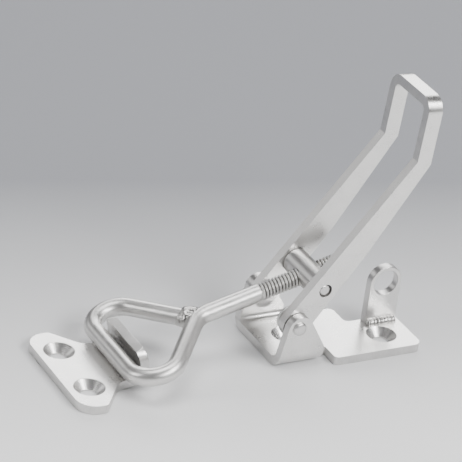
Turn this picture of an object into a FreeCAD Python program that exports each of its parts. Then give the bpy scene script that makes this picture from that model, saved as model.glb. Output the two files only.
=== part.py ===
import FreeCAD, Part
import Sketcher
import math
import os

# Toggle bolt latch: a folded base bracket with a padlock eye, a U-shaped lever on two
# rivets, a barrel nut between the lever arms, a screwed loop bolt and a hooked strike plate.
# Millimetres. The origin is on the base underside, below the pivot and midway between the
# ears. +X points to the padlock eye, -X to the strike plate, +Z away from the mounting face.

doc = FreeCAD.newDocument("toggle_bolt_latch")
sheet = doc.addObject("Spreadsheet::Sheet", "dims")

SIZES = [
    ("plate_t", 3.2, "sheet thickness of base, eye and strike"),
    ("ear_in", 13.2, "ear inner face from the middle"),
    ("bend_r", 2.2, "inside bend radius of the channel"),
    ("base_front", -6.6, "front edge of the channel floor"),
    ("ear_rear", 11.1, "rear edge of the ears"),
    ("ear_foot_x", -6.3, "front edge of an ear just above the floor"),
    ("ear_foot_z", 3.7, "height of that point"),
    ("ear_heel_z", 6.9, "height where the rear edge turns inward"),
    ("ear_top_x", 0.7, "centre of the rounded ear top"),
    ("ear_top_z", 15.0, "height of that centre"),
    ("ear_top_r", 4.8, "radius of the rounded ear top"),
    ("ear_front_deg", 169.4, "angle where the front edge meets the rounding"),
    ("ear_tan_deg", 29.8, "angle where the rear edge leaves the rounding"),
    ("pivot_h", 15.6, "pivot height over the mounting face"),
    ("waist_half", 11.6, "half width of the floor behind the ears"),
    ("rear_front", 14.8, "front edge of the wide rear plate"),
    ("rear_end", 50.0, "rear edge of the base"),
    ("rear_half", 19.4, "near edge of the rear plate from the middle"),
    ("far_end", 30.3, "rear edge of the floor on the far side of the eye"),
    ("far_r", 2.0, "corner rounding there"),
    ("rear_r", 3.0, "corner rounding of the rear plate"),
    ("step_r", 1.4, "small corner rounding"),
    ("csk_r", 5.5, "countersink radius at the face"),
    ("screw_r", 2.75, "screw hole radius"),
    ("screw_front_x", 5.6, "front screw hole"),
    ("screw_rear_x", 38.8, "rear screw hole"),
    ("screw_rear_y", -9.5, "rear screw hole from the middle"),
    ("eye_x", 42.8, "padlock hole from the pivot"),
    ("eye_z", 19.0, "padlock hole height"),
    ("eye_r", 6.3, "outer rounding of the eye"),
    ("eye_hole_r", 4.75, "padlock hole radius"),
    ("bead", 2.1, "leg of the weld bead at the eye foot"),
    ("lever_half", 12.9, "outer half width of the lever"),
    ("lever_t", 3.5, "lever strip thickness"),
    ("lever_deg", 52.1, "rise of the lever arms at rest"),
    ("arm_up", 4.2, "upper edge of an arm over the pivot line"),
    ("arm_low", 6.6, "lower edge of an arm under the pivot line"),
    ("arm_back", 5.4, "arm end behind the pivot"),
    ("arm_len", 69.8, "pivot to the elbow"),
    ("knee_x", 33.6, "where the lower edge starts to taper faster"),
    ("knee_low", 5.1, "lower edge there"),
    ("elbow_dx", 2.1, "outer elbow corner past the inner one"),
    ("elbow_low", 1.15, "outer elbow corner under the pivot line"),
    ("grip_deg", 34.2, "turn of the lever at the elbow"),
    ("grip_len", 23.1, "elbow to the end of the lever"),
    ("grip_w", 5.6, "strip width at the grip"),
    ("grip_r", 5.6, "outer corner rounding at the grip"),
    ("barrel_arm", 15.45, "pivot to barrel along the arm"),
    ("barrel_drop", 1.3, "barrel under the pivot line of the arm"),
    ("barrel_r", 4.9, "barrel radius"),
    ("barrel_half", 9.2, "barrel half length"),
    ("spigot_r", 2.4, "barrel spigot radius"),
    ("spigot_half", 12.6, "spigot end from the middle"),
    ("run_gap", 0.05, "radial clearance of the pivots and of the screw"),
    ("rivet_r", 2.3, "pivot rivet shank radius"),
    ("rivet_head_r", 4.7, "rivet head inside the arm"),
    ("rivet_head_t", 1.2, "thickness of that head"),
    ("rivet_play", 0.2, "gap between that head and the arm"),
    ("dome_r", 2.5, "formed head outside the ear"),
    ("dome_h", 1.2, "height of the formed head"),
    ("rod_r", 3.175, "bolt rod radius, one quarter inch rod"),
    ("bolt_deg", 14.71, "slope of the bolt at rest"),
    ("bolt_len", 75.8, "barrel to the loop's cross bar"),
    ("bolt_tail", 16.9, "screwed tail past the barrel"),
    ("fork_s", 43.5, "barrel to where the rod leaves its line"),
    ("fork_r", 9.0, "bend radius there"),
    ("loop_near", 36.4, "meeting point of near leg and bar"),
    ("loop_far", 39.5, "meeting point of far leg and bar"),
    ("loop_r", 8.9, "loop corner radius on the rod centre"),
    ("join_s", 43.4, "barrel to where the far leg would meet the rod"),
    ("join_w", 2.4, "sideways offset of that point"),
    ("leg_end_part", 0.3, "share of the far leg drawn as a straight end piece"),
    ("weld_r", 4.4, "radius of the loop weld"),
    ("weld_s", 44.4, "barrel to the middle of the loop weld"),
    ("weld_y", 1.8, "middle of the loop weld from the rod line"),
    ("hook_left", -21.8, "strike left edge from the bar"),
    ("hook_screw_x", -13.9, "strike screw holes from the bar"),
    ("hook_screw_y", 12.2, "strike screw holes from the middle"),
    ("hook_end", 24.3, "half length of the strike"),
    ("hook_end_x", -12.4, "strike end corner on the hook side"),
    ("hook_neck_x", -3.5, "start of the hook neck"),
    ("hook_corner_r", 6.7, "outer corner rounding of the strike"),
    ("neck_r", 5.0, "inner corner rounding at the neck"),
    ("hook_half", 13.0, "half width of the hook"),
    ("hook_bend_x", -6.4, "start of the rise to the hook"),
    ("hook_ramp_deg", 6.5, "slope of that rise"),
    ("hook_root_x", 5.7, "corner of the hook inside, before rounding"),
    ("hook_lean_deg", 18.0, "backward lean of the hook tongue"),
    ("hook_tip_z", 13.4, "hook tip height, inner edge"),
    ("hook_r", 4.4, "inside radius of the hook"),
    ("hook_tip_r", 4.0, "corner rounding of the hook tip"),
]


class Dim:
    """A number that remembers the spreadsheet formula it came from."""

    def __init__(self, value, text):
        self.value, self.text = value, text

    def _join(self, other, sign, value):
        text = other.text if isinstance(other, Dim) else repr(float(other))
        return Dim(value, "(" + self.text + " " + sign + " " + text + ")")

    def __add__(self, other):
        return self._join(other, "+", self.value + number(other))

    def __sub__(self, other):
        return self._join(other, "-", self.value - number(other))

    def __mul__(self, other):
        return self._join(other, "*", self.value * number(other))

    def __truediv__(self, other):
        return self._join(other, "/", self.value / number(other))

    def __neg__(self):
        return self * -1.0

    def root(self):
        return Dim(math.sqrt(self.value), "sqrt(" + self.text + ")")

    def sin(self):
        return Dim(math.sin(math.radians(self.value)), "sin(" + self.text + ")")

    def cos(self):
        return Dim(math.cos(math.radians(self.value)), "cos(" + self.text + ")")


def number(item):
    return item.value if isinstance(item, Dim) else float(item)


D = {}
for row, (alias, value, note) in enumerate(SIZES, start=1):
    sheet.set("A%d" % row, alias)
    sheet.set("B%d" % row, str(value))
    sheet.set("C%d" % row, note)
    sheet.setAlias("B%d" % row, alias)
    D[alias] = Dim(value, "dims." + alias)
doc.recompute()

ZERO = Dim(0.0, "0.0")
X_AXIS, Y_AXIS, Z_AXIS = FreeCAD.Vector(1, 0, 0), FreeCAD.Vector(0, 1, 0), FreeCAD.Vector(0, 0, 1)
PLANES = {
    "XY": FreeCAD.Rotation(),
    "XZ": FreeCAD.Rotation(X_AXIS, 90),
    "YZ": FreeCAD.Rotation(FreeCAD.Vector(1, 1, 1), 120),
}


def bind(obj, **links):
    """Drive properties from the sheet: double underscores in a name stand for dots."""
    for name, dim in links.items():
        if not isinstance(dim, Dim):
            dim = Dim(float(dim), repr(float(dim)))
        obj.setExpression(name.replace("__", "."), dim.text)
    return obj


def place(obj, x=ZERO, y=ZERO, z=ZERO, axis=None, angle=None):
    if axis is not None:
        obj.Placement = FreeCAD.Placement(FreeCAD.Vector(), FreeCAD.Rotation(axis, number(angle)))
        bind(obj, Placement__Rotation__Angle=angle)
    return bind(obj, Placement__Base__x=x, Placement__Base__y=y, Placement__Base__z=z)


def corner_arc(before, here, after, radius):
    """Tangent points and centre of a rounding between two straight edges."""
    to_b, to_a = (before - here), (after - here)
    to_b.normalize()
    to_a.normalize()
    half = to_b.getAngle(to_a) / 2.0
    reach = radius / math.tan(half)
    middle = to_b + to_a
    middle.normalize()
    return here + to_b * reach, here + to_a * reach, here + middle * (radius / math.sin(half))


def outline(name, plane, corners, is_open=False):
    """Sketch of straight edges through corners (x, y) or rounded corners (x, y, radius)."""
    sketch = doc.addObject("Sketcher::SketchObject", name)
    sketch.Placement = FreeCAD.Placement(FreeCAD.Vector(), PLANES[plane])
    count = len(corners)
    flat = [FreeCAD.Vector(number(c[0]), number(c[1]), 0) for c in corners]
    enter, leave, arcs = list(flat), list(flat), {}
    for i, corner in enumerate(corners):
        if len(corner) == 3:
            enter[i], leave[i], centre = corner_arc(
                flat[i - 1], flat[i], flat[(i + 1) % count], number(corner[2]))
            arcs[i] = centre
    edges = count - 1 if is_open else count
    for i in range(edges):
        sketch.addGeometry(Part.LineSegment(leave[i], enter[(i + 1) % count]), False)
    for i, centre in arcs.items():
        spokes = [enter[i] - centre, leave[i] - centre]
        turns_left = spokes[0].cross(spokes[1]).z > 0
        first, second = (1, 2) if turns_left else (2, 1)
        start, end = [math.atan2(s.y, s.x) for s in (spokes if turns_left else spokes[::-1])]
        ring = Part.Circle(centre, Z_AXIS, number(corners[i][2]))
        arc = sketch.addGeometry(Part.ArcOfCircle(ring, start, end), False)
        sketch.addConstraint(Sketcher.Constraint("Tangent", (i - 1) % count, 2, arc, first))
        sketch.addConstraint(Sketcher.Constraint("Tangent", i, 1, arc, second))
        size = sketch.addConstraint(Sketcher.Constraint("Radius", arc, number(corners[i][2])))
        sketch.setExpression("Constraints[%d]" % size, corners[i][2].text)
        dot = sketch.addGeometry(Part.Point(flat[i]), True)
        sketch.addConstraint(Sketcher.Constraint("PointOnObject", dot, 1, (i - 1) % count))
        sketch.addConstraint(Sketcher.Constraint("PointOnObject", dot, 1, i))
        pin(sketch, dot, 1, corners[i])
    for i in range(count):
        if i in arcs:
            continue
        if not is_open or 0 < i < count - 1:
            sketch.addConstraint(Sketcher.Constraint("Coincident", (i - 1) % count, 2, i, 1))
        if is_open and i == count - 1:
            pin(sketch, i - 1, 2, corners[i])
        else:
            pin(sketch, i, 1, corners[i])
    return sketch


def pin(sketch, geo, end, corner):
    """Hold one sketch point at sheet-driven coordinates."""
    for kind, dim in (("DistanceX", corner[0]), ("DistanceY", corner[1])):
        index = sketch.addConstraint(Sketcher.Constraint(kind, -1, 1, geo, end, number(dim)))
        text = dim.text if isinstance(dim, Dim) else repr(float(dim))
        sketch.setExpression("Constraints[%d]" % index, text)


def extrude(name, sketch, direction, length, middle=True):
    solid = doc.addObject("Part::Extrusion", name)
    solid.Base, solid.DirMode, solid.Dir = sketch, "Custom", direction
    solid.Solid, solid.Symmetric = True, middle
    return bind(solid, LengthFwd=length)


def drill(name, radius, length, x, y, z, axis=None, angle=None):
    """A cylinder that starts at (x, y, z) and runs along Z, or along the turned Z."""
    tool = doc.addObject("Part::Cylinder", name)
    bind(tool, Radius=radius, Height=length)
    return place(tool, x, y, z, axis, angle)


def countersink(name, x, y):
    """Screw hole with a 90 degree countersink that opens at the top of the sheet."""
    depth = D["csk_r"] - D["screw_r"]
    cone = doc.addObject("Part::Cone", name + "_cone")
    bind(cone, Radius1=D["screw_r"], Radius2=D["csk_r"], Height=depth)
    place(cone, x, y, D["plate_t"] - depth)
    return [cone, drill(name + "_hole", D["screw_r"], D["plate_t"] * 2.0, x, y, -D["plate_t"])]


def fuse(name, parts):
    solid = doc.addObject("Part::MultiFuse", name)
    solid.Shapes = parts
    return solid


def common(name, parts):
    solid = doc.addObject("Part::MultiCommon", name)
    solid.Shapes = parts
    return solid


def cut(name, base, tools):
    """Finished piece: base less its tools. Its label is the node name."""
    tool = tools[0] if len(tools) == 1 else fuse(name + "_tools", tools)
    solid = doc.addObject("Part::Cut", name)
    solid.Base, solid.Tool = base, tool
    solid.Label = name
    return solid


# ---------------------------------------------------------------- base bracket
T = D["plate_t"]
ear_out = D["ear_in"] + T
tall = D["pivot_h"] + D["ear_top_r"] + 4.0
bend_out = D["bend_r"] + T
channel = extrude("channel", outline("channel_section", "YZ", [
    (-ear_out, ZERO, bend_out), (ear_out, ZERO, bend_out), (ear_out, tall),
    (D["ear_in"], tall), (D["ear_in"], T, D["bend_r"]), (-D["ear_in"], T, D["bend_r"]),
    (-D["ear_in"], tall), (-ear_out, tall)]), X_AXIS, Dim(60.0, "60.0"))
ear_side = extrude("ear_side", outline("ear_outline", "XZ", [
    (D["base_front"], ZERO), (D["base_front"], T), (D["ear_foot_x"], D["ear_foot_z"]),
    (D["ear_top_x"] + D["ear_top_r"] * D["ear_front_deg"].cos(),
     D["ear_top_z"] + D["ear_top_r"] * D["ear_front_deg"].sin()),
    (D["ear_top_x"] + D["ear_top_r"] * D["ear_tan_deg"].cos(),
     D["ear_top_z"] + D["ear_top_r"] * D["ear_tan_deg"].sin()),
    (D["ear_rear"], D["ear_heel_z"], D["step_r"]), (D["ear_rear"], ZERO)]),
    Y_AXIS, ear_out * 2.5)
ear_crown = drill("ear_crown", D["ear_top_r"], ear_out * 2.5, D["ear_top_x"], ear_out * 1.25,
                  D["ear_top_z"], X_AXIS, 90)
ears = common("ears", [channel, fuse("ear_shape", [ear_side, ear_crown])])
# The wide rear plate lies on the near side only; its far edge is flush with the eye.
floor = extrude("floor", outline("floor_outline", "XY", [
    (ZERO, -D["waist_half"]), (D["rear_front"], -D["waist_half"]),
    (D["rear_front"], -D["rear_half"], D["step_r"]), (D["rear_end"], -D["rear_half"], D["rear_r"]),
    (D["rear_end"], T * 0.5, D["step_r"]), (D["far_end"], T * 0.5, D["far_r"]),
    (D["far_end"], D["waist_half"], D["far_r"]), (ZERO, D["waist_half"])]),
    Z_AXIS, T, middle=False)
base_tools = countersink("front_screw", D["screw_front_x"], ZERO)
base_tools += countersink("rear_screw", D["screw_rear_x"], D["screw_rear_y"])
base_tools.append(drill("rivet_bore", D["rivet_r"], ear_out * 2.5, ZERO, ear_out * 1.25,
                        D["pivot_h"], X_AXIS, 90))
base_bracket = cut("base_bracket", fuse("bracket_blank", [ears, floor]), base_tools)

# ---------------------------------------------------------------- padlock eye and its weld
eye_foot = extrude("eye_foot", outline("eye_outline", "XZ", [
    (D["eye_x"] - D["eye_r"], T), (D["eye_x"] + D["eye_r"], T),
    (D["eye_x"] + D["eye_r"], D["eye_z"]), (D["eye_x"] - D["eye_r"], D["eye_z"])]), Y_AXIS, T)
eye_round = drill("eye_round", D["eye_r"], T, D["eye_x"], T * 0.5, D["eye_z"], X_AXIS, 90)
eye_bore = drill("eye_bore", D["eye_hole_r"], T * 2.0, D["eye_x"], T, D["eye_z"], X_AXIS, 90)
padlock_eye = cut("padlock_eye", fuse("eye_blank", [eye_foot, eye_round]), [eye_bore])

eye_weld = extrude("eye_weld", outline("bead_section", "YZ", [
    (T * -0.5, T), (T * -0.5, T + D["bead"]),
    (T * -0.5 - D["bead"] * 0.75, T + D["bead"] * 0.7), (T * -0.5 - D["bead"], T)]),
    X_AXIS, D["eye_r"] * 2.0)
eye_weld.Label = "eye_weld"
place(eye_weld, x=D["eye_x"])

# ---------------------------------------------------------------- lever
# The lever is drawn with its arms along X and its pivot at zero, then raised.
grip_cos, grip_sin = D["grip_deg"].cos(), D["grip_deg"].sin()
tip_x = D["arm_len"] + D["grip_len"] * grip_cos
tip_z = D["arm_up"] + D["grip_len"] * grip_sin
end_round = (D["arm_up"] + D["arm_low"]) * 0.49
lever_side = extrude("lever_side", outline("lever_outline", "XZ", [
    (-D["arm_back"], D["arm_up"], end_round), (-D["arm_back"], -D["arm_low"], end_round),
    (D["knee_x"], -D["knee_low"]), (D["arm_len"] + D["elbow_dx"], -D["elbow_low"]),
    (tip_x + D["grip_w"] * grip_sin, tip_z - D["grip_w"] * grip_cos), (tip_x, tip_z),
    (D["arm_len"], D["arm_up"])]), Y_AXIS, D["lever_half"] * 2.0)
lever_in = D["lever_half"] - D["lever_t"]
reach_back = Dim(-120.0, "-120.0")
bend_outer = extrude("bend_outer", outline("bend_outer_plan", "XY", [
    (reach_back, -D["lever_half"]), (ZERO, -D["lever_half"], D["grip_r"]),
    (ZERO, D["lever_half"], D["grip_r"]), (reach_back, D["lever_half"])]),
    Z_AXIS, Dim(140.0, "140.0"))
bend_inner = extrude("bend_inner", outline("bend_inner_plan", "XY", [
    (reach_back, -lever_in), (-D["lever_t"], -lever_in, D["grip_r"] - D["lever_t"]),
    (-D["lever_t"], lever_in, D["grip_r"] - D["lever_t"]), (reach_back, lever_in)]),
    Z_AXIS, Dim(140.0, "140.0"))
for bend in (bend_outer, bend_inner):
    place(bend, x=tip_x, z=tip_z, axis=Y_AXIS, angle=-D["grip_deg"])
lever_pins = [
    drill("pivot_bore", D["rivet_r"] + D["run_gap"], D["lever_half"] * 3.0,
          ZERO, D["lever_half"] * 1.5, ZERO, X_AXIS, 90),
    drill("spigot_bore", D["spigot_r"] + D["run_gap"], D["lever_half"] * 3.0,
          D["barrel_arm"], D["lever_half"] * 1.5, -D["barrel_drop"], X_AXIS, 90)]
lever = cut("lever", common("lever_blank", [lever_side, bend_outer]), [bend_inner] + lever_pins)
place(lever, z=D["pivot_h"], axis=Y_AXIS, angle=-D["lever_deg"])

# ---------------------------------------------------------------- pivot rivets
head_face = D["lever_half"] - D["lever_t"] - D["rivet_play"]
rivets = []
for side, sign in (("near", -1.0), ("far", 1.0)):
    turned = doc.addObject("Part::Revolution", "pivot_rivet_" + side)
    turned.Source = outline("rivet_section_" + side, "XY", [
        (ZERO, (head_face - D["rivet_head_t"]) * sign),
        (D["rivet_head_r"], (head_face - D["rivet_head_t"]) * sign),
        (D["rivet_head_r"], head_face * sign), (D["rivet_r"], head_face * sign),
        (D["rivet_r"], ear_out * sign), (D["dome_r"], ear_out * sign),
        (D["dome_r"], (ear_out + D["dome_h"]) * sign, D["dome_h"] * 0.95),
        (ZERO, (ear_out + D["dome_h"]) * sign)])
    turned.Axis, turned.Angle, turned.Solid = Y_AXIS, 360.0, True
    turned.Label = "pivot_rivet_" + side
    rivets.append(place(turned, z=D["pivot_h"]))

# ---------------------------------------------------------------- barrel nut
lever_cos, lever_sin = D["lever_deg"].cos(), D["lever_deg"].sin()
barrel_x = D["barrel_arm"] * lever_cos + D["barrel_drop"] * lever_sin
barrel_z = D["pivot_h"] + D["barrel_arm"] * lever_sin - D["barrel_drop"] * lever_cos
half, chamfer = D["barrel_half"], Dim(0.6, "0.6")
barrel_blank = doc.addObject("Part::Revolution", "barrel_blank")
barrel_blank.Source = outline("barrel_section", "XY", [
    (ZERO, -D["spigot_half"]), (D["spigot_r"], -D["spigot_half"]), (D["spigot_r"], -half),
    (D["barrel_r"] - chamfer, -half), (D["barrel_r"], chamfer - half),
    (D["barrel_r"], half - chamfer), (D["barrel_r"] - chamfer, half), (D["spigot_r"], half),
    (D["spigot_r"], D["spigot_half"]), (ZERO, D["spigot_half"])])
barrel_blank.Axis, barrel_blank.Angle, barrel_blank.Solid = Y_AXIS, 360.0, True
screw_bore = drill("screw_bore", D["rod_r"] + D["run_gap"], D["barrel_r"] * 4.0,
                   -D["barrel_r"] * 2.0, ZERO, ZERO, Y_AXIS, 90)
barrel_nut = cut("barrel_nut", barrel_blank, [screw_bore])
place(barrel_nut, x=barrel_x, z=barrel_z, axis=Y_AXIS, angle=-D["bolt_deg"])

# ---------------------------------------------------------------- loop bolt and its weld
# Drawn with the barrel at zero and the loop towards -X, then sloped to the strike.
leg_dx, leg_dy = D["join_s"] - D["bolt_len"], D["loop_far"] + D["join_w"]
rod_path = outline("rod_path", "XY", [
    (D["bolt_tail"], ZERO), (-D["fork_s"], ZERO, D["fork_r"]),
    (-D["bolt_len"], -D["loop_near"], D["loop_r"]), (-D["bolt_len"], D["loop_far"], D["loop_r"]),
    (leg_dx * D["leg_end_part"] - D["join_s"], leg_dy * D["leg_end_part"] - D["join_w"])],
    is_open=True)
rod_circle = doc.addObject("Sketcher::SketchObject", "rod_circle")
rod_circle.Placement = FreeCAD.Placement(FreeCAD.Vector(), PLANES["YZ"])
ring = rod_circle.addGeometry(Part.Circle(FreeCAD.Vector(), Z_AXIS, number(D["rod_r"])), False)
rod_circle.addConstraint(Sketcher.Constraint("Coincident", ring, 3, -1, 1))
size = rod_circle.addConstraint(Sketcher.Constraint("Radius", ring, number(D["rod_r"])))
rod_circle.setExpression("Constraints[%d]" % size, D["rod_r"].text)
place(rod_circle, x=D["bolt_tail"])
rod = doc.addObject("Part::Sweep", "rod")
rod.Sections, rod.Spine = [rod_circle], (rod_path, [])
rod.Solid, rod.Frenet = True, False
# The last piece of the far leg runs straight into the side of the rod.
leg_len = (leg_dx * leg_dx + leg_dy * leg_dy).root()
leg_end = drill("leg_end", D["rod_r"], leg_len * D["leg_end_part"], -D["join_s"], -D["join_w"],
                ZERO, FreeCAD.Vector(-leg_dy.value, leg_dx.value, 0), 90)
loop_bolt = fuse("loop_bolt", [rod, leg_end])
weld_ball = doc.addObject("Part::Sphere", "weld_ball")
bind(weld_ball, Radius=D["weld_r"])
place(weld_ball, x=-D["weld_s"], y=D["weld_y"])
loop_weld = cut("loop_weld", weld_ball, [rod, leg_end])
for piece in (loop_bolt, loop_weld):
    place(piece, x=barrel_x, z=barrel_z, axis=Y_AXIS, angle=-D["bolt_deg"])

# ---------------------------------------------------------------- strike plate
# Drawn with the loop's cross bar above x = 0, then moved under the real bar.
ramp_sin, ramp_cos = D["hook_ramp_deg"].sin(), D["hook_ramp_deg"].cos()
lean_sin, lean_cos = D["hook_lean_deg"].sin(), D["hook_lean_deg"].cos()
root_x = D["hook_root_x"]
root_z = T + (root_x - D["hook_bend_x"]) * ramp_sin / ramp_cos
tip_in_x = root_x - (D["hook_tip_z"] - root_z) * lean_sin / lean_cos
spread = T / (ramp_sin * lean_cos - ramp_cos * lean_sin + 1.0)
hook_side = extrude("hook_side", outline("hook_section", "XZ", [
    (D["hook_left"], ZERO), (D["hook_bend_x"] + T * ramp_sin / (ramp_cos + 1.0), ZERO),
    (root_x + spread * (ramp_sin + lean_cos), root_z + spread * (lean_sin - ramp_cos),
     D["hook_r"] + T),
    (tip_in_x + T * lean_cos, D["hook_tip_z"] + T * lean_sin), (tip_in_x, D["hook_tip_z"]),
    (root_x, root_z, D["hook_r"]), (D["hook_bend_x"], T), (D["hook_left"], T)]),
    Y_AXIS, D["hook_end"] * 2.0)
clear_x, clear_z = root_x + 12.0, D["hook_tip_z"] + T
tip_top = D["hook_tip_z"] + T * lean_sin
hook_plan = extrude("hook_plan", outline("hook_plan_outline", "XY", [
    (D["hook_left"], -D["hook_end"], D["hook_corner_r"]),
    (D["hook_end_x"], -D["hook_end"], D["step_r"]), (D["hook_neck_x"], -D["hook_half"], D["neck_r"]),
    (clear_x, -D["hook_half"]), (clear_x, D["hook_half"]),
    (D["hook_neck_x"], D["hook_half"], D["neck_r"]), (D["hook_end_x"], D["hook_end"], D["step_r"]),
    (D["hook_left"], D["hook_end"], D["hook_corner_r"])]), Z_AXIS, clear_z * 3.0)
hook_front = extrude("hook_front", outline("hook_front_outline", "YZ", [
    (-D["hook_end"], -T), (D["hook_end"], -T), (D["hook_end"], D["hook_r"] + T * 0.5),
    (D["hook_half"], D["hook_r"] + T * 0.5), (D["hook_half"], tip_top, D["hook_tip_r"]),
    (-D["hook_half"], tip_top, D["hook_tip_r"]),
    (-D["hook_half"], D["hook_r"] + T * 0.5), (-D["hook_end"], D["hook_r"] + T * 0.5)]),
    X_AXIS, D["hook_end"] * 3.0)
strike_tools = []
for side, sign in (("near", -1.0), ("far", 1.0)):
    strike_tools += countersink("strike_screw_" + side, D["hook_screw_x"], D["hook_screw_y"] * sign)
strike_plate = cut("strike_plate", common("strike_blank", [hook_side, hook_plan, hook_front]),
                   strike_tools)
place(strike_plate, x=barrel_x - D["bolt_len"] * D["bolt_deg"].cos())

# ---------------------------------------------------------------- export
NODES = ([base_bracket, padlock_eye, eye_weld, lever] + rivets
         + [barrel_nut, loop_bolt, loop_weld, strike_plate])
doc.recompute()
for item in doc.Objects:
    if "Invalid" in item.State or "Error" in item.State:
        raise RuntimeError("%s did not build" % item.Name)
for node in NODES:
    if node.Shape.isNull() or not node.Shape.isValid() or len(node.Shape.Solids) != 1:
        raise RuntimeError("%s is not one sound solid" % node.Label)
os.makedirs("parts", exist_ok=True)
for node in NODES:
    node.Shape.exportStep("parts/%s.step" % node.Label)
    box = node.Shape.BoundBox
    print("%-18s %9.1f mm3  x %7.2f %7.2f  y %7.2f %7.2f  z %7.2f %7.2f" % (
        node.Label, node.Shape.Volume, box.XMin, box.XMax, box.YMin, box.YMax, box.ZMin, box.ZMax))
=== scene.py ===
# %% [markdown]
# A toggle bolt latch in stainless steel: a folded base, a U-shaped lever, a screwed loop bolt
# and a hooked strike plate. The measured solids come in as a frame that keeps every place and
# every joint. Each piece is then modelled again with rounded edges, thread and weld ripples,
# and takes the place of its plain solid.

# %% Load the frame
import math

import bmesh
import bpy
from mathutils import Matrix, Vector, noise


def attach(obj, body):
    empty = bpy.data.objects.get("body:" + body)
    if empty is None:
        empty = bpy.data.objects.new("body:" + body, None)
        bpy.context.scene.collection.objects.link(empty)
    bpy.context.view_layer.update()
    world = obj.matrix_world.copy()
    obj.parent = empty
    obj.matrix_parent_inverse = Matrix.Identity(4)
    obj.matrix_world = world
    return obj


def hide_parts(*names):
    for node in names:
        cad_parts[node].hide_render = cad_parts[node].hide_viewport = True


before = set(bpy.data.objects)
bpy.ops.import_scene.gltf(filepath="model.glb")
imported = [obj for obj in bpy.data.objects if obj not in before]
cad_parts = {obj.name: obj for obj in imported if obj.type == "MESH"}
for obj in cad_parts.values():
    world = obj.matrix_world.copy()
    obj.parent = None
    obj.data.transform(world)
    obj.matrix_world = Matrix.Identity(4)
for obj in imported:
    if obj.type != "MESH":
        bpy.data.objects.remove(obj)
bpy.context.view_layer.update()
MM = 0.001
print("frame nodes:", ", ".join(sorted(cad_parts)))

# %% [markdown]
# Camera first, because every later choice is judged through it. A long lens a metre away keeps
# the lines nearly parallel, as in a catalogue picture. The camera stands to the front left and
# above, and is rolled a little, so the latch climbs across the frame.

# %% Camera
TURN, RISE, ROLL = math.radians(31.4), math.radians(28.1), math.radians(7.9)
LENS_MM, DISTANCE, AIM = 231.5, 1038.8 * MM, (14.11 * MM, -39.53 * MM)
right = Vector((math.cos(TURN), -math.sin(TURN), 0))
back = Vector((-math.sin(TURN) * math.cos(RISE), -math.cos(TURN) * math.cos(RISE), math.sin(RISE)))
up = back.cross(right)
right_rolled = right * math.cos(ROLL) + up * math.sin(ROLL)
up_rolled = up * math.cos(ROLL) - right * math.sin(ROLL)
camera_data = bpy.data.cameras.new("camera")
camera_data.lens, camera_data.sensor_width = LENS_MM, 36
camera_data.clip_end = 20
camera = bpy.data.objects.new("camera", camera_data)
bpy.context.scene.collection.objects.link(camera)
spot = back * DISTANCE - right_rolled * AIM[0] - up_rolled * AIM[1]
columns = Matrix((right_rolled, up_rolled, back)).transposed().to_4x4()
camera.matrix_world = Matrix.Translation(spot) @ columns
bpy.context.scene.camera = camera
print("camera at", [round(v, 3) for v in spot])

# %% [markdown]
# Polished steel shows little but its surroundings, so the light is built from large soft
# panels. The ones overhead, behind and in front give the white faces. The small ones at the
# sides draw streaks along the rods. The room stays dark, which leaves dark bands between.

# %% Soft studio light
def soft_panel(name, place, aim, width, height, watts):
    data = bpy.data.lights.new(name, "AREA")
    data.shape, data.size, data.size_y, data.energy = "RECTANGLE", width, height, watts
    lamp = bpy.data.objects.new(name, data)
    bpy.context.scene.collection.objects.link(lamp)
    facing = (Vector(place) - Vector(aim)).to_track_quat("Z", "Y").to_matrix().to_4x4()
    lamp.matrix_world = Matrix.Translation(place) @ facing
    return lamp


MIDDLE = (-0.01, 0, 0.03)
soft_panel("top_panel", (0.0, 0.15, 1.1), MIDDLE, 0.8, 0.5, 7)
soft_panel("back_panel", (0.55, 0.95, 0.62), MIDDLE, 1.0, 0.55, 9)
soft_panel("back_left_panel", (-0.68, 0.90, 0.42), MIDDLE, 0.6, 0.45, 1.1)
soft_panel("right_panel", (0.60, -0.62, 0.95), MIDDLE, 0.45, 0.35, 7)
soft_panel("front_panel", (0.35, -1.15, 0.90), (0.0, -0.10, 0), 1.0, 0.35, 15)
soft_panel("left_panel", (-1.0, 0.10, 0.55), MIDDLE, 0.25, 0.5, 3)

room = bpy.data.worlds.new("room")
room.use_nodes = True
bpy.context.scene.world = room
nodes, links = room.node_tree.nodes, room.node_tree.links
place = nodes.new("ShaderNodeTexCoord")
split = nodes.new("ShaderNodeSeparateXYZ")
ramp = nodes.new("ShaderNodeValToRGB")
links.new(place.outputs["Generated"], split.inputs[0])
links.new(split.outputs["Z"], ramp.inputs["Fac"])
links.new(ramp.outputs["Color"], nodes["Background"].inputs["Color"])
for spot_on_ramp, grey in ((0.0, 0.03), (0.16, 0.08), (0.34, 0.22), (0.6, 0.07), (1.0, 0.14)):
    step = ramp.color_ramp.elements.new(spot_on_ramp) if 0 < spot_on_ramp < 1 else (
        ramp.color_ramp.elements[0 if spot_on_ramp == 0 else -1])
    step.color = (grey, grey, grey * 1.03, 1)
nodes["Background"].inputs["Strength"].default_value = 1.0

# %% [markdown]
# Every finish here is one kind of steel, so one helper makes the shader and takes what
# differs. Two noise textures steer the roughness: a broad one for handling marks and a fine
# one for the grain that tumbling leaves. A bump from the same grain breaks up reflections.
# Real-world sizes matter: the textures read Object coordinates, which are metres.

# %% Steel shader helper
def wire(tree, source, target):
    tree.links.new(source, target)


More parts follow.
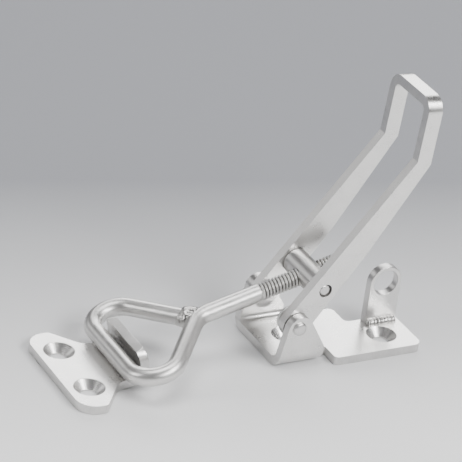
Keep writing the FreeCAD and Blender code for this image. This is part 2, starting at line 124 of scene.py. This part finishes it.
def steel(name, tint, dull, bright, grain_mm, bump_mm, stretch=(1, 1, 1), patch_mm=9.0, dark=0.12):
    """Metal whose roughness wanders between two values, with a grain of the given size."""
    finish = bpy.data.materials.new(name)
    finish.use_nodes = True
    tree = finish.node_tree
    shader = tree.nodes["Principled BSDF"]
    shader.inputs["Metallic"].default_value = 1.0
    spots = tree.nodes.new("ShaderNodeTexCoord")
    scale = tree.nodes.new("ShaderNodeMapping")
    scale.inputs["Scale"].default_value = stretch
    wire(tree, spots.outputs["Object"], scale.inputs["Vector"])
    grain = tree.nodes.new("ShaderNodeTexNoise")
    grain.inputs["Scale"].default_value = 1000.0 / grain_mm
    grain.inputs["Detail"].default_value = 3.0
    patch = tree.nodes.new("ShaderNodeTexNoise")
    patch.inputs["Scale"].default_value = 1000.0 / patch_mm
    patch.inputs["Detail"].default_value = 2.0
    wire(tree, scale.outputs[0], grain.inputs["Vector"])
    wire(tree, spots.outputs["Object"], patch.inputs["Vector"])
    both = tree.nodes.new("ShaderNodeMath")
    both.operation = "MULTIPLY_ADD"
    both.inputs[1].default_value = 0.5
    half = tree.nodes.new("ShaderNodeMath")
    half.operation = "MULTIPLY"
    half.inputs[1].default_value = 0.5
    wire(tree, patch.outputs["Fac"], half.inputs[0])
    wire(tree, grain.outputs["Fac"], both.inputs[0])
    wire(tree, half.outputs[0], both.inputs[2])
    rough = tree.nodes.new("ShaderNodeMapRange")
    rough.inputs["From Min"].default_value, rough.inputs["From Max"].default_value = 0.3, 0.7
    rough.inputs["To Min"].default_value, rough.inputs["To Max"].default_value = bright, dull
    wire(tree, both.outputs[0], rough.inputs["Value"])
    wire(tree, rough.outputs[0], shader.inputs["Roughness"])
    tone = tree.nodes.new("ShaderNodeValToRGB")
    tone.color_ramp.elements[0].position, tone.color_ramp.elements[1].position = 0.25, 0.75
    tone.color_ramp.elements[0].color = (*[c * (1 - dark) for c in tint], 1)
    tone.color_ramp.elements[1].color = (*tint, 1)
    wire(tree, both.outputs[0], tone.inputs["Fac"])
    wire(tree, tone.outputs["Color"], shader.inputs["Base Color"])
    bump = tree.nodes.new("ShaderNodeBump")
    bump.inputs["Strength"].default_value = 1.0
    bump.inputs["Distance"].default_value = bump_mm * MM
    wire(tree, grain.outputs["Fac"], bump.inputs["Height"])
    wire(tree, bump.outputs[0], shader.inputs["Normal"])
    return finish


# %% [markdown]
# Six finishes. Sheet faces are tumbled: light, with a fine mottle. Sheared edges show the
# drag lines of the blanking tool across the sheet's thickness, so their grain is stretched.
# The rod and the turned parts are satin. Thread roots get a dark colour, painted shade in the groove,
# and weld metal is the dullest.

# %% Finishes
STEEL = (0.84, 0.83, 0.815)
sheet_face = steel("tumbled_sheet", STEEL, 0.38, 0.24, 0.5, 0.012, patch_mm=6, dark=0.20)
sheet_edge = steel("sheared_edge", (0.74, 0.73, 0.72), 0.42, 0.26, 0.5, 0.020, (1, 1, 0.35), 5, 0.22)
rod_finish = steel("satin_rod", (0.76, 0.75, 0.735), 0.44, 0.30, 0.6, 0.012, (0.35, 1, 1), 8, 0.18)
turned_finish = steel("turned_steel", (0.74, 0.73, 0.72), 0.40, 0.28, 0.35, 0.008, (1, 6, 1), 6, 0.18)
# Thread roots: a dark colour painted into the groove as shade.
root_painted_shade = steel("thread_root_painted_shade", (0.30, 0.29, 0.28), 0.45, 0.3, 0.3, 0.010, dark=0.3)
weld_finish = steel("weld_metal", (0.70, 0.69, 0.67), 0.42, 0.20, 0.8, 0.050, patch_mm=2.5, dark=0.5)
print("finishes:", [m.name for m in bpy.data.materials if m.use_nodes][-6:])

# %% [markdown]
# A countersink is cut with a turning tool, which leaves fine rings. Rings stretch a highlight
# into bright and dark fans. The shader does that with anisotropy, which needs to know which
# way round the hole is: a small UV map stores the angle and the distance from the hole's axis.

# %% Countersink finish
countersink_finish = steel("countersink_rings", (0.80, 0.79, 0.78), 0.30, 0.18, 0.4, 0.003)
tree = countersink_finish.node_tree
shader = tree.nodes["Principled BSDF"]
shader.inputs["Anisotropic"].default_value = 0.85
around = tree.nodes.new("ShaderNodeTangent")
around.direction_type, around.uv_map = "UV_MAP", "rings"
wire(tree, around.outputs[0], shader.inputs["Tangent"])
ring_place = tree.nodes.new("ShaderNodeUVMap")
ring_place.uv_map = "rings"
ring_split = tree.nodes.new("ShaderNodeSeparateXYZ")
wire(tree, ring_place.outputs[0], ring_split.inputs[0])
ring_wave = tree.nodes.new("ShaderNodeMath")
ring_wave.operation = "SINE"
ring_pitch = tree.nodes.new("ShaderNodeMath")
ring_pitch.operation = "MULTIPLY"
ring_pitch.inputs[1].default_value = 2 * math.pi / 0.045
wire(tree, ring_split.outputs["Y"], ring_pitch.inputs[0])
wire(tree, ring_pitch.outputs[0], ring_wave.inputs[0])
ring_bump = tree.nodes.new("ShaderNodeBump")
ring_bump.inputs["Distance"].default_value = 0.006 * MM
wire(tree, ring_wave.outputs[0], ring_bump.inputs["Height"])
wire(tree, tree.nodes["Bump"].outputs[0], ring_bump.inputs["Normal"])
wire(tree, ring_bump.outputs[0], shader.inputs["Normal"])
print("countersink rings every", 0.45, "mm")

# %% [markdown]
# The floor is a plain pale sheet, far larger than the view, so no edge of it shows. Its colour runs
# from white at the bottom of the picture to grey at the top: painted shade for the light falling off.

# %% Floor
floor_mesh = bpy.data.meshes.new("floor")
bm = bmesh.new()
bmesh.ops.create_grid(bm, x_segments=1, y_segments=1, size=4.0)
bmesh.ops.translate(bm, verts=bm.verts, vec=(0, 0, -0.05 * MM))
bm.to_mesh(floor_mesh)
bm.free()
floor = bpy.data.objects.new("floor", floor_mesh)
bpy.context.scene.collection.objects.link(floor)
floor_painted_shade = bpy.data.materials.new("pale_floor")
floor_painted_shade.use_nodes = True
tree = floor_painted_shade.node_tree
tree.nodes["Principled BSDF"].inputs["Roughness"].default_value = 1.0
tree.nodes["Principled BSDF"].inputs["Specular IOR Level"].default_value = 0.0
floor_place = tree.nodes.new("ShaderNodeTexCoord")
depth = tree.nodes.new("ShaderNodeVectorMath")
depth.operation = "DOT_PRODUCT"
depth.inputs[1].default_value = (up_rolled.x, up_rolled.y, 0)
# This colour ramp is painted shade: white at the bottom of the picture, grey at the top.
fade = tree.nodes.new("ShaderNodeValToRGB")
fade.color_ramp.elements[0].position, fade.color_ramp.elements[0].color = 0.0, (0.97, 0.97, 0.97, 1)
fade.color_ramp.elements[1].position, fade.color_ramp.elements[1].color = 1.0, (0.30, 0.305, 0.325, 1)
shift = tree.nodes.new("ShaderNodeMath")
shift.operation = "MULTIPLY_ADD"
shift.inputs[1].default_value, shift.inputs[2].default_value = 10.75, 0.366
wire(tree, floor_place.outputs["Object"], depth.inputs[0])
wire(tree, depth.outputs["Value"], shift.inputs[0])
wire(tree, shift.outputs[0], fade.inputs["Fac"])
wire(tree, fade.outputs["Color"], tree.nodes["Principled BSDF"].inputs["Base Color"])
floor.data.materials.append(floor_painted_shade)

# %% [markdown]
# Sheet-metal shapes start as a flat outline of a few points. The outline is filled, pulled
# out to a thickness, and chosen corners are rounded. A bevel's width is where it starts, not
# its radius: for a corner that turns by an angle a, the width is radius times tan(a / 2).

# %% Prism and rounding helpers
AXES = {"X": Vector((1, 0, 0)), "Y": Vector((0, 1, 0)), "Z": Vector((0, 0, 1))}
FLAT = {"Z": lambda a, b: (a, b, 0), "Y": lambda a, b: (a, 0, b), "X": lambda a, b: (0, a, b)}


def round_edge(bm, edge, radius, steps):
    width = radius * math.tan(edge.calc_face_angle() / 2)
    bmesh.ops.bevel(bm, geom=[edge], offset=width, offset_type="OFFSET", affect="EDGES",
                    segments=steps, profile=0.5, material=-1, clamp_overlap=False)


def prism(outline, axis, low, high):
    """Solid in millimetres: outline points (a, b) or (a, b, radius), pulled along an axis."""
    bm = bmesh.new()
    along = AXES[axis]
    corners = [bm.verts.new(Vector(FLAT[axis](*p[:2])) + along * low) for p in outline]
    face = bm.faces.new(corners)
    pulled = bmesh.ops.extrude_face_region(bm, geom=[face])["geom"]
    raised = [v for v in pulled if isinstance(v, bmesh.types.BMVert)]
    bmesh.ops.translate(bm, verts=raised, vec=along * (high - low))
    bmesh.ops.recalc_face_normals(bm, faces=bm.faces)
    for point in outline:
        if len(point) == 3:
            here = Vector(FLAT[axis](*point[:2]))
            for edge in list(bm.edges):
                ends = [v.co - along * v.co.dot(along) for v in edge.verts]
                if all((e - here).length < 1e-3 for e in ends):
                    round_edge(bm, edge, point[2], max(4, int(point[2] * 1.6) + 3))
                    break
    return bm


# %% [markdown]
# Holes and crossings are cut with the Boolean modifier, which is sturdy on closed solids. Its
# result is taken as a new mesh and the cutters are deleted, so the piece stays plain mesh.

# %% Cutting helper
def to_object(name, bm):
    mesh = bpy.data.meshes.new(name)
    bm.to_mesh(mesh)
    bm.free()
    made = bpy.data.objects.new(name, mesh)
    bpy.context.scene.collection.objects.link(made)
    return made


def carve(bm, steps):
    """Apply (operation, cutter) pairs to a bmesh and return the result as a new bmesh."""
    body = to_object("carve_body", bm)
    cutters = []
    for operation, cutter_bm in steps:
        cutter = to_object("carve_tool", cutter_bm)
        tool = body.modifiers.new("cut", "BOOLEAN")
        tool.operation, tool.solver, tool.object = operation, "EXACT", cutter
        cutters.append(cutter)
    bpy.context.view_layer.update()
    result = bpy.data.meshes.new_from_object(body.evaluated_get(bpy.context.evaluated_depsgraph_get()))
    out = bmesh.new()
    out.from_mesh(result)
    for spare in [body] + cutters:
        spare_mesh = spare.data
        bpy.data.objects.remove(spare)
        bpy.data.meshes.remove(spare_mesh)
    bpy.data.meshes.remove(result)
    return out


def rod_tool(radius, length, centre, axis, steps=64, top_radius=None):
    """A cylinder or cone for cutting, centred on a point and lying along an axis."""
    bm = bmesh.new()
    bmesh.ops.create_cone(bm, cap_ends=True, segments=steps, radius1=radius,
                          radius2=radius if top_radius is None else top_radius, depth=length)
    turn = Vector((0, 0, 1)).rotation_difference(Vector(axis)).to_matrix().to_4x4()
    bmesh.ops.transform(bm, verts=bm.verts, matrix=Matrix.Translation(centre) @ turn)
    return bm


# %% [markdown]
# No stamped edge is razor sharp: polishing leaves a rounding of a few tenths of a millimetre,
# and that rounding is what catches the light as a thin line. The last steps of every piece are
# the same: round the sharp edges, sort faces into finishes, store the piece in metres, and let
# the Weighted Normal modifier keep the big faces flat.

# %% Finishing helper
SHEET = 3.2


def soften(bm, width, least_angle=25, segments=2):
    bmesh.ops.remove_doubles(bm, verts=bm.verts, dist=0.002)
    bmesh.ops.dissolve_limit(bm, angle_limit=math.radians(0.4), verts=bm.verts, edges=bm.edges)
    sharp = [e for e in bm.edges if len(e.link_faces) == 2
             and e.calc_face_angle() > math.radians(least_angle)]
    bmesh.ops.bevel(bm, geom=sharp, offset=width, offset_type="OFFSET", affect="EDGES",
                    segments=segments, profile=0.5, material=-1, clamp_overlap=True)


def finish_piece(name, bm, body, finishes, choose=None, holes=(), place=None):
    """Turn a bmesh in millimetres into a finished piece that stands for its CAD node."""
    if place is not None:
        bmesh.ops.transform(bm, verts=bm.verts, matrix=place)
    bm.normal_update()
    rings = bm.loops.layers.uv.new("rings")
    for face in bm.faces:
        face.smooth = True
        middle, normal = face.calc_center_median(), face.normal
        face.material_index = choose(middle, normal) if choose else 0
        for hole_x, hole_y in holes:
            if math.hypot(middle.x - hole_x, middle.y - hole_y) < 5.4 and 0.3 < middle.z < SHEET:
                face.material_index = len(finishes) - 1
                angles = [math.atan2(l.vert.co.y - hole_y, l.vert.co.x - hole_x) for l in face.loops]
                for loop, angle in zip(face.loops, angles):
                    angle += 2 * math.pi if max(angles) - angle > math.pi else 0
                    away = math.hypot(loop.vert.co.x - hole_x, loop.vert.co.y - hole_y)
                    loop[rings].uv = (angle / (2 * math.pi), away * 0.1)
    bmesh.ops.scale(bm, vec=(MM, MM, MM), verts=bm.verts)
    piece = to_object(name + "_finished", bm)
    for finish in finishes:
        piece.data.materials.append(finish)
    piece.data.set_sharp_from_angle(angle=math.radians(50))
    keep_flat = piece.modifiers.new("keep_flat", "WEIGHTED_NORMAL")
    keep_flat.keep_sharp, keep_flat.weight = True, 60
    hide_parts(name)
    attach(piece, body)
    print(name, "faces:", len(piece.data.polygons))
    return piece

# %% [markdown]
# Turned parts are drawn once as a half section and spun round the axis. After the spin the
# seam is merged and the normals are made to point outwards. The countersink cutter is such a
# part too: straight through the sheet, then flaring at 45 degrees to 11 mm across the top.

# %% Spinning helper and countersink cutter
def spun(section, steps=56):
    """Spin a half section of (radius, y) points round the Y axis."""
    bm = bmesh.new()
    points = [bm.verts.new((r, y, 0)) for r, y in section]
    line = [bm.edges.new(pair) for pair in zip(points, points[1:])]
    bmesh.ops.spin(bm, geom=points + line, cent=(0, 0, 0), axis=(0, 1, 0), dvec=(0, 0, 0),
                   angle=2 * math.pi, steps=steps, use_merge=True, use_duplicate=False)
    bmesh.ops.remove_doubles(bm, verts=bm.verts, dist=0.001)
    bmesh.ops.recalc_face_normals(bm, faces=bm.faces)
    return bm


SCREW_R = 2.75


def countersunk(holes):
    """Cutters for screw holes, one at each (x, y)."""
    tools = []
    for x, y in holes:
        section = [(0, -3), (SCREW_R, -3), (SCREW_R, 0.45), (SCREW_R + 4, 4.45), (0, 4.45)]
        cutter = spun(section, steps=72)
        bmesh.ops.transform(cutter, verts=cutter.verts, matrix=Matrix.Translation((x, y, 0))
                            @ Matrix.Rotation(math.radians(90), 4, "X"))
        tools.append(("DIFFERENCE", cutter))
    return tools


# %% [markdown]
# The base is one stamping. The middle strip is folded up into two ears that carry the lever,
# and the rear plate stays flat. Its wide part lies on the near side and ends at the eye. A
# channel section crossed with the ears' side outline gives the fold its true inside and
# outside radius. The flat plate is joined to it, and the screw holes and the rivet holes are
# cut last, as in the press tool.

# %% Base bracket
PIVOT_Z, EAR_IN, EAR_OUT = 15.6, 13.2, 16.4
BASE_HOLES = [(5.6, 0), (38.8, -9.5)]
channel = prism([(-EAR_OUT, 0, 5.4), (EAR_OUT, 0, 5.4), (EAR_OUT, 26), (EAR_IN, 26),
                 (EAR_IN, SHEET, 2.2), (-EAR_IN, SHEET, 2.2), (-EAR_IN, 26), (-EAR_OUT, 26)],
                "X", -20, 20)
crown = [math.radians(169.4 + (29.8 - 169.4) * i / 22) for i in range(23)]
ear_side = prism([(-6.6, -1), (-6.6, 3.2), (-6.3, 3.7)]
                 + [(0.7 + 4.8 * math.cos(a), 15.0 + 4.8 * math.sin(a)) for a in crown]
                 + [(11.1, 6.9, 1.4), (11.1, -1)], "Y", -20, 20)
rear_plate = prism([(0, -11.6), (14.8, -11.6), (14.8, -19.4, 1.4), (50, -19.4, 3.0), (50, 1.6, 1.4),
                    (30.3, 1.6, 2.0), (30.3, 11.6, 2.0), (0, 11.6)], "Z", 0, SHEET)
base = carve(channel, [("INTERSECT", ear_side), ("UNION", rear_plate)] + countersunk(BASE_HOLES)
             + [("DIFFERENCE", rod_tool(2.3, 60, (0, 0, PIVOT_Z), (0, 1, 0)))])
soften(base, 0.28)


def base_finish(middle, normal):
    if middle.z > 5:
        return 1 if abs(normal.y) < 0.5 else 0
    side_cut = middle.x > 12 and abs(normal.y) > 0.5
    return 1 if side_cut or abs(normal.x) > 0.5 else 0


finish_piece("base_bracket", base, "base",
             [sheet_face, sheet_edge, countersink_finish], base_finish, BASE_HOLES)

# %% [markdown]
# The padlock eye is a strip with a round top, stood on the far edge of the plate and welded
# there along its near face.

# %% Padlock eye
EYE_X, EYE_Z = 42.8, 19.0
eye = prism([(EYE_X - 6.3, SHEET), (EYE_X + 6.3, SHEET), (EYE_X + 6.3, EYE_Z + 6.3, 6.28),
             (EYE_X - 6.3, EYE_Z + 6.3, 6.28)], "Y", -SHEET / 2, SHEET / 2)
eye = carve(eye, [("DIFFERENCE", rod_tool(4.75, 20, (EYE_X, 0, EYE_Z), (0, 1, 0)))])
soften(eye, 0.25)
finish_piece("padlock_eye", eye, "base", [sheet_face, sheet_edge],
             lambda middle, normal: 0 if abs(normal.y) > 0.8 else 1)

# %% [markdown]
# A weld bead is laid down drop by drop, and each drop leaves a ripple. The bead starts as a
# ring of points, pulled along the joint in short steps. The ring swells and shrinks once per
# drop and tapers off at both ends.

# %% Weld bead at the padlock eye
def weld_bead():
    bm = bmesh.new()
    side = -1
    ring = bmesh.ops.create_circle(bm, cap_ends=True, segments=20, radius=1.0)["verts"]
    turn = Matrix.Rotation(math.radians(90), 4, "Y")
    bmesh.ops.transform(bm, verts=ring, matrix=turn)
    start, length, steps = EYE_X - 6.2, 12.4, 84
    centre_y, centre_z = side * (SHEET / 2 + 0.15), SHEET + 0.15
    rings, edges = [ring], [e for e in bm.edges]
    for _ in range(steps):
        grown = bmesh.ops.extrude_edge_only(bm, edges=edges)["geom"]
        ring = [v for v in grown if isinstance(v, bmesh.types.BMVert)]
        edges = [e for e in grown if isinstance(e, bmesh.types.BMEdge)
                 and all(v in ring for v in e.verts)]
        rings.append(ring)
    bmesh.ops.edgeloop_fill(bm, edges=edges)
    for i, ring in enumerate(rings):
        t = i / steps
        drop = (t * length / 1.45 + 0.25 * side) % 1.0
        size = 1.62 + 0.22 * math.sqrt(max(0.0, 1 - (2 * drop - 1) ** 2))
        size *= math.sqrt(max(0.02, 1 - max(0, abs(2 * t - 1) - 0.82) ** 2 / 0.0324))
        size *= 1 + 0.07 * noise.noise(Vector((t * 9, side, 0)))
        for v in ring:
            lean = 0.5 * (v.co.z + abs(v.co.y)) * 0.35
            v.co = Vector((start + t * length - lean * (0 < i < steps),
                           centre_y + v.co.y * size, centre_z + v.co.z * size))
            v.co.z = max(v.co.z, SHEET - 0.4)
    bmesh.ops.recalc_face_normals(bm, faces=bm.faces)
    return bm


finish_piece("eye_weld", weld_bead(), "base", [weld_finish])

# %% [markdown]
# The lever is a flat strip bent into a U, with its ends cut to a taper. Its side outline is
# pulled across the full width, then the U's outer and inner outlines, seen along the handle,
# trim it. The frame draws it with level arms; one matrix lifts it to its resting angle.

# %% Lever
ARM_DEG, GRIP_DEG = 52.1, 34.2
BARREL_ARM, BARREL_DROP = 15.45, 1.3
grip = Vector((math.cos(math.radians(GRIP_DEG)), 0, math.sin(math.radians(GRIP_DEG))))
across = Vector((-grip.z, 0, grip.x))
tip = Vector((69.8, 0, 4.2)) + grip * 23.1
low_tip = tip - across * 5.6
lever_side = prism([(-5.4, 4.2, 5.28), (-5.4, -6.6, 5.28), (33.6, -5.1), (71.9, -1.15),
                    (low_tip.x, low_tip.z), (tip.x, tip.z), (69.8, 4.2)], "Y", -12.9, 12.9)
outer = prism([(-120, -12.9), (0, -12.9, 5.6), (0, 12.9, 5.6), (-120, 12.9)], "Z", -70, 70)
inner = prism([(-125, -9.4), (-3.5, -9.4, 2.1), (-3.5, 9.4, 2.1), (-125, 9.4)], "Z", -75, 75)
along_grip = Matrix.Translation(tip) @ Matrix.Rotation(math.radians(-GRIP_DEG), 4, "Y")
for plan in (outer, inner):
    bmesh.ops.transform(plan, verts=plan.verts, matrix=along_grip)
lever = carve(lever_side, [
    ("INTERSECT", outer), ("DIFFERENCE", inner),
    ("DIFFERENCE", rod_tool(2.36, 60, (0, 0, 0), (0, 1, 0))),
    ("DIFFERENCE", rod_tool(2.46, 60, (BARREL_ARM, 0, -BARREL_DROP), (0, 1, 0)))])
soften(lever, 0.42, segments=3)
lift_lever = Matrix.Translation((0, 0, PIVOT_Z)) @ Matrix.Rotation(math.radians(-ARM_DEG), 4, "Y")
grip_up = (lift_lever.to_3x3() @ grip).normalized()


def lever_finish(middle, normal):
    if abs(normal.y) > 0.5:
        return 0
    return 0 if middle.z > 85 and abs(normal.dot(grip_up)) > 0.8 else 1


finish_piece("lever", lever, "lever", [sheet_face, sheet_edge], lever_finish,
             place=lift_lever)

# %% [markdown]
# Each pivot rivet has a flat head inside the lever arm. Its outer end was peened into a low
# dome over the ear.

# %% Pivot rivets
for side, word in ((-1, "near"), (1, "far")):
    section = [(0, 8.0), (4.4, 8.0), (4.7, 8.3), (4.7, 8.9), (4.4, 9.2), (2.3, 9.2), (2.3, 16.3),
               (2.46, 16.35), (2.5, 16.6), (2.42, 16.95), (2.15, 17.25), (1.65, 17.46),
               (0.9, 17.57), (0.35, 17.58), (0, 17.5)]
    rivet = spun([(r, y * side) for r, y in section])
    finish_piece("pivot_rivet_" + word, rivet, "base", [turned_finish],
                 place=Matrix.Translation((0, 0, PIVOT_Z)))

# %% [markdown]
# The barrel nut is a short bar with a spigot at each end and a threaded cross hole. The
# spigots end a little inside the lever arms, with a shallow turned dimple.

# %% Barrel nut
BOLT_DEG, BOLT_LEN = 14.71, 75.8
BARREL = lift_lever @ Vector((BARREL_ARM, 0, -BARREL_DROP))
half_section = [(0, 12.5), (1.6, 12.45), (1.9, 12.2), (2.1, 11.7), (2.4, 11.2), (2.4, 9.2), (4.2, 9.2),
                (4.7, 8.95), (4.9, 8.45)]
barrel = spun(half_section + [(r, -y) for r, y in reversed(half_section)])
barrel = carve(barrel, [("DIFFERENCE", rod_tool(3.2, 20, (0, 0, 0), (1, 0, 0)))]
               + [("DIFFERENCE", rod_tool(2.6, 1.6, (4.9 * end, 0, 0), (end, 0, 0), top_radius=4.4))
                  for end in (-1, 1)])
soften(barrel, 0.18)
tilt = Matrix.Rotation(math.radians(-BOLT_DEG), 4, "Y")
finish_piece("barrel_nut", barrel, "barrel", [turned_finish],
             place=Matrix.Translation(BARREL) @ tilt)

# %% [markdown]
# The loop bolt is one quarter inch rod. A ring of points is pulled along: the thread first,
# then straight runs and bends. A bend is a spin of the last ring about the bend's centre, so
# the tube keeps its full section all the way round, which a stretched tube would not.

# %% Rod helpers
ROD_R, RING = 3.175, 40


def pull(bm, ring, vector):
    """Extrude the open ring by a vector and return the new ring's edges."""
    grown = bmesh.ops.extrude_edge_only(bm, edges=ring)["geom"]
    fresh = [v for v in grown if isinstance(v, bmesh.types.BMVert)]
    bmesh.ops.translate(bm, verts=fresh, vec=vector)
    inside = set(fresh)
    return [e for e in grown if isinstance(e, bmesh.types.BMEdge) and set(e.verts) <= inside]


def ring_verts(ring):
    return list({v for e in ring for v in e.verts})


def swing(bm, ring, centre, angle, steps):
    """Spin the open ring about a centre in the loop's plane and return the new ring."""
    swept = bmesh.ops.spin(bm, geom=ring_verts(ring) + ring, cent=centre, axis=(0, 0, 1),
                           dvec=(0, 0, 0), angle=angle, steps=steps, use_merge=False,
                           use_duplicate=False)["geom_last"]
    return [e for e in swept if isinstance(e, bmesh.types.BMEdge)]


# %% [markdown]
# The thread is real geometry: twenty turns to the inch, 1.27 mm each. Every ring of the tube
# gets a radius that depends on how far along and how far round a point is, which winds the
# groove into a helix. The groove fades out where the die stopped.

# %% Threaded end
TAIL, THREAD_END, PITCH, DEPTH = 16.9, -19.9, 1.27, 0.80
STATION = PITCH / 10


def thread_radius(x, angle):
    turn = (x / PITCH + angle / (2 * math.pi)) % 1.0
    flank = min(1.0, max(0.0, (abs(turn - 0.5) - 0.07) / 0.34))
    fade = min(1.0, max(0.0, (x - THREAD_END) / 1.6)) * min(1.0, (TAIL + 0.3 - x) / 0.5)
    lead = max(0.0, 0.75 - (TAIL - x)) * 0.8
    return ROD_R - 0.02 - DEPTH * (1 - flank) * fade - lead


bolt = bmesh.new()
first = bmesh.ops.create_circle(bolt, cap_ends=True, segments=RING, radius=1.0)["verts"]
bmesh.ops.transform(bolt, verts=first, matrix=Matrix.Translation((TAIL, 0, 0))
                    @ Matrix.Rotation(math.radians(90), 4, "Y"))
ring = list(bolt.edges)
stations = int((TAIL - THREAD_END) / STATION)
thread_rings = [first]
for _ in range(stations):
    ring = pull(bolt, ring, (-STATION, 0, 0))
    thread_rings.append(ring_verts(ring))
for ring_points in thread_rings:
    for v in ring_points:
        angle = math.atan2(v.co.z, v.co.y)
        size = thread_radius(v.co.x, angle)
        v.co.y, v.co.z = math.cos(angle) * size, math.sin(angle) * size
for v in ring_verts(ring):
    grow = ROD_R / math.hypot(v.co.y, v.co.z)
    v.co.y, v.co.z = v.co.y * grow, v.co.z * grow
print("thread rings:", stations)

# %% [markdown]
# Past the thread the rod runs straight, forks towards the near side, turns round two corners
# and comes back to its own side, where it is welded. Each corner is given by the point where
# its two straight runs would meet and by the bend radius.

# %% Loop
LOOP_NEAR, LOOP_FAR, LOOP_R = 36.4, 39.5, 8.9
JOIN_S, JOIN_SIDE = 43.4, 2.4
route = [(-43.5, 0, 9.0, 12), (-BOLT_LEN, -LOOP_NEAR, LOOP_R, 22), (-BOLT_LEN, LOOP_FAR, LOOP_R, 22)]
here, heading = Vector((ring_verts(ring)[0].co.x, 0, 0)), Vector((-1, 0, 0))
targets = [Vector((x, y, 0)) for x, y, _, _ in route] + [Vector((-JOIN_S, -JOIN_SIDE, 0))]
for (x, y, radius, steps), after in zip(route, targets[1:]):
    corner = Vector((x, y, 0))
    leaving = (after - corner).normalized()
    turn = math.atan2(heading.cross(leaving).z, heading.dot(leaving))
    reach = radius * math.tan(abs(turn) / 2)
    straight = corner - heading * reach - here
    for _ in range(4):
        ring = pull(bolt, ring, straight / 4)
    inward = Vector((-heading.y, heading.x, 0)) * math.copysign(1, turn)
    entry = here + straight
    ring = swing(bolt, ring, entry + inward * radius, turn, steps)
    here, heading = corner + leaving * reach, leaving
final = targets[-1] - heading * 1.2 - here
for _ in range(6):
    ring = pull(bolt, ring, final / 6)
bmesh.ops.edgeloop_fill(bolt, edges=ring)
bmesh.ops.recalc_face_normals(bolt, faces=bolt.faces)
lift_bolt = Matrix.Translation(BARREL) @ tilt
lower_bolt = lift_bolt.inverted()


# Faces deep in the thread groove take the dark root colour, which is painted shade.
def bolt_finish(middle, normal):
    here = lower_bolt @ middle
    return 1 if here.x > THREAD_END + 0.6 and math.hypot(here.y, here.z) < ROD_R - 0.52 else 0


finish_piece("loop_bolt", bolt, "bolt", [rod_finish, root_painted_shade], bolt_finish,
             place=lift_bolt)

# %% [markdown]
# The rod's end is joined to its side with a lump of weld. An icosphere, squashed and pushed
# in and out by noise, makes a lump that isn't quite round. A small pit is pressed in where
# the arc was stopped.

# %% Loop weld
weld = bmesh.new()
bmesh.ops.create_icosphere(weld, subdivisions=6, radius=1.0)
pit = Vector((0.10, -0.25, 0.9)).normalized()
for v in weld.verts:
    out = v.co.normalized()
    swell = 0.95 + 0.04 * noise.noise(out * 2.2) + 0.02 * noise.noise(out * 6.0)
    swell -= 0.22 * math.exp(-((out - pit).length / 0.20) ** 2)
    swell += 0.07 * math.exp(-((-out.x - 0.84) / 0.10) ** 2)
    swell += 0.014 * math.sin(out.x * 16 + 1.5 * noise.noise(out * 2))
    v.co = Vector((out.x * 5.4, out.y * 4.5, out.z * 4.0)) * swell
leg_angle = math.atan2(-(LOOP_FAR + JOIN_SIDE), BOLT_LEN - JOIN_S)
bmesh.ops.transform(weld, verts=weld.verts, matrix=Matrix.Translation((-45.6, 1.5, 0))
                    @ Matrix.Rotation(leg_angle * 0.6, 4, "Z"))
finish_piece("loop_weld", weld, "bolt", [weld_finish], place=lift_bolt)

# %% [markdown]
# The strike plate is stamped and curled. Its side section, with the hook's inside and outside
# radius, is pulled across the width. The plan outline then cuts the broad plate and the neck,
# and a front outline rounds the tongue's top corners.

# %% Strike plate
BAR_X = BARREL.x - BOLT_LEN * math.cos(math.radians(BOLT_DEG))
ramp_a, lean_a = math.radians(6.5), math.radians(18)
root_x = 5.7
root_z = SHEET + (root_x + 6.4) * math.tan(ramp_a)
tip_x = root_x - (13.4 - root_z) * math.tan(lean_a)
spread = SHEET / (1 + math.sin(ramp_a - lean_a))
under = -6.4 + SHEET * math.sin(ramp_a) / (1 + math.cos(ramp_a))
tip_top = 13.4 + SHEET * math.sin(lean_a)
strike = prism([(-21.8, 0), (under, 0),
                (root_x + spread * (math.sin(ramp_a) + math.cos(lean_a)),
                 root_z + spread * (math.sin(lean_a) - math.cos(ramp_a)), 7.6),
                (tip_x + SHEET * math.cos(lean_a), tip_top), (tip_x, 13.4),
                (root_x, root_z, 4.4), (-6.4, SHEET), (-21.8, SHEET)], "Y", -24.3, 24.3)
plan = prism([(-21.8, -24.3, 6.7), (-12.4, -24.3, 1.4), (-3.5, -13, 5), (18, -13), (18, 13),
              (-3.5, 13, 5), (-12.4, 24.3, 1.4), (-21.8, 24.3, 6.7)], "Z", -5, 30)
front = prism([(-26, -4), (26, -4), (26, 6), (13, 6), (13, tip_top, 4), (-13, tip_top, 4),
               (-13, 6), (-26, 6)], "X", -40, 40)
STRIKE_HOLES = [(-13.9, -12.2), (-13.9, 12.2)]
strike = carve(strike, [("INTERSECT", plan), ("INTERSECT", front)] + countersunk(STRIKE_HOLES))
soften(strike, 0.28)


def strike_finish(middle, normal):
    plate_side = middle.x < BAR_X - 3 and abs(normal.z) < 0.4
    tongue_top = middle.z > 12.5 and normal.z > 0.5
    return 1 if plate_side or tongue_top or abs(normal.y) > 0.5 else 0


finish_piece("strike_plate", strike, "strike",
             [sheet_face, sheet_edge, countersink_finish], strike_finish,
             [(BAR_X + x, y) for x, y in STRIKE_HOLES], place=Matrix.Translation((BAR_X, 0, 0)))
